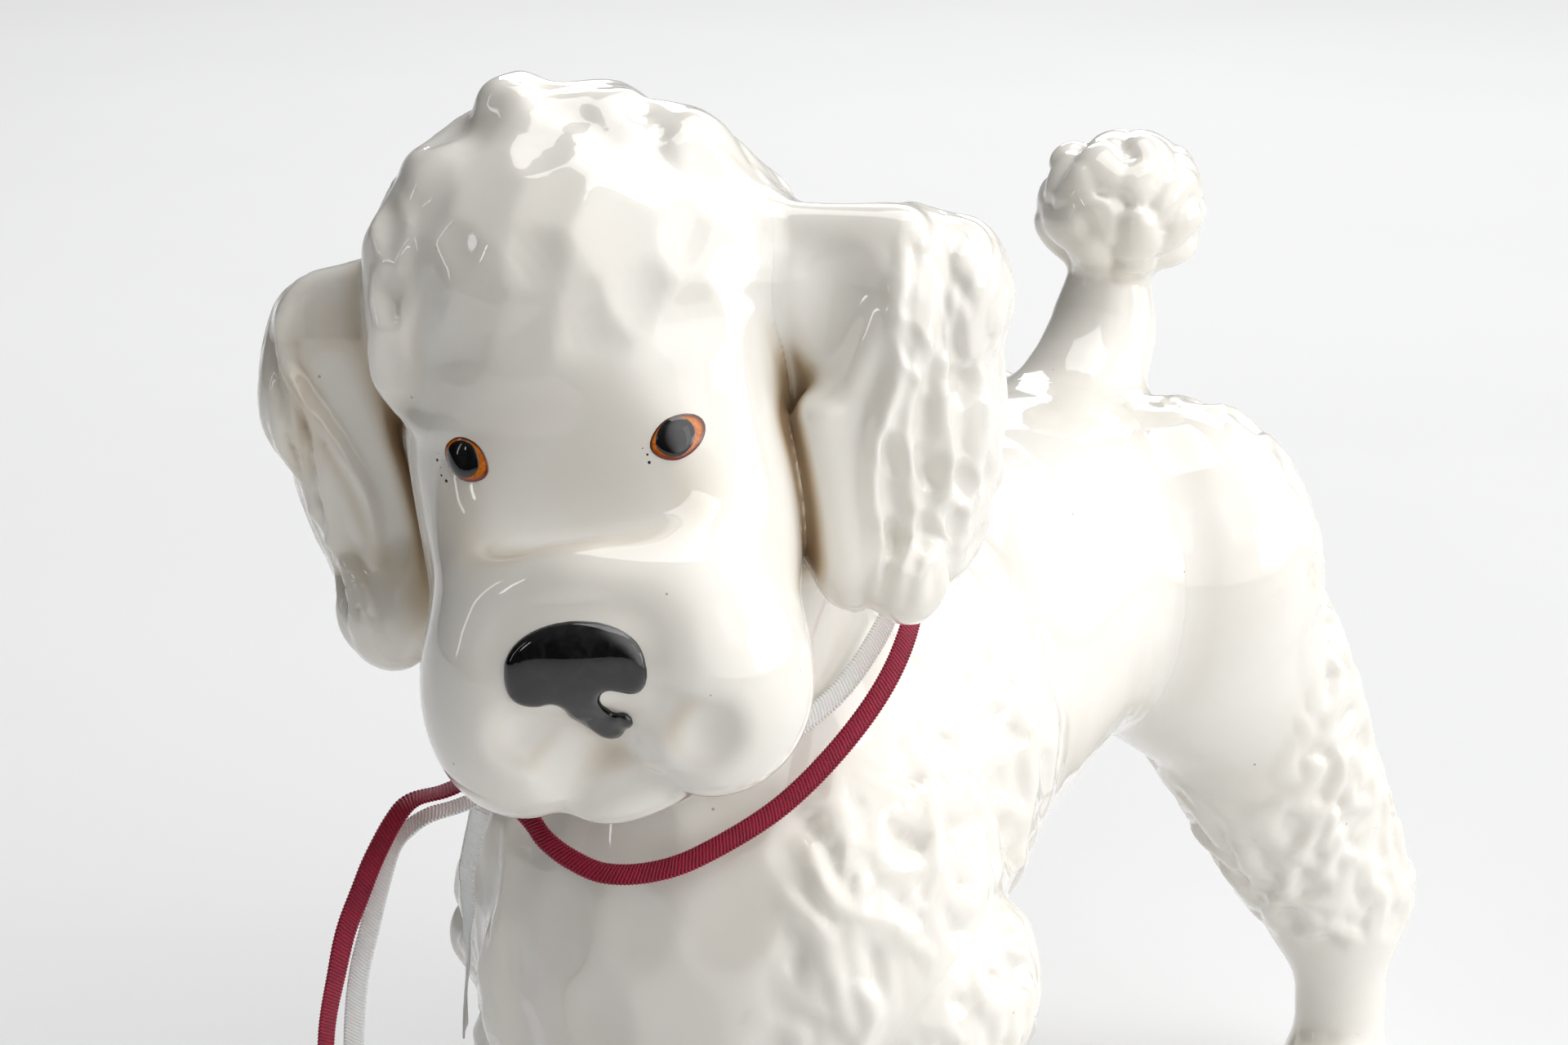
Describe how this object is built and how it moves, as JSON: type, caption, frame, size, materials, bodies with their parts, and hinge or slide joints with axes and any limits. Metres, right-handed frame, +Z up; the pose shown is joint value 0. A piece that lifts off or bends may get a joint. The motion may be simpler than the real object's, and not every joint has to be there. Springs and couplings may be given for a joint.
{
  "type": "poodle figurine",
  "caption": "Standing poodle figurine of hollow glazed ceramic with curled coat, black enamel nose, amber eyes, and burgundy and white satin ribbons tied round its neck.",
  "frame": {"origin": "middle of the figure's box, ribbons aside, on the surface that it stands on", "axes": "+Z up; -Y the way the body faces; +X the dog's left side"},
  "size_m": [0.1051, 0.2248, 0.1971],
  "materials": {
    "glaze": "gloss",
    "black_enamel": "gloss",
    "amber_enamel": "gloss",
    "burgundy_satin": "satin",
    "white_satin": "satin"
  },
  "bodies": {
    "root": {"trunk": "glaze", "head": "glaze", "ear_left": "glaze", "ear_right": "glaze", "tail": "glaze", "foreleg_left": "glaze", "foreleg_right": "glaze", "hindleg_left": "glaze", "hindleg_right": "glaze", "nose_enamel": "black_enamel", "iris_left": "amber_enamel", "iris_right": "amber_enamel", "pupil_left": "black_enamel", "pupil_right": "black_enamel", "knot_burgundy": "burgundy_satin", "loop_burgundy": "burgundy_satin", "end_burgundy": "burgundy_satin", "knot_white": "white_satin", "loop_white": "white_satin", "end_white_front": "white_satin", "end_white_side": "white_satin"}
  },
  "joints": []
}
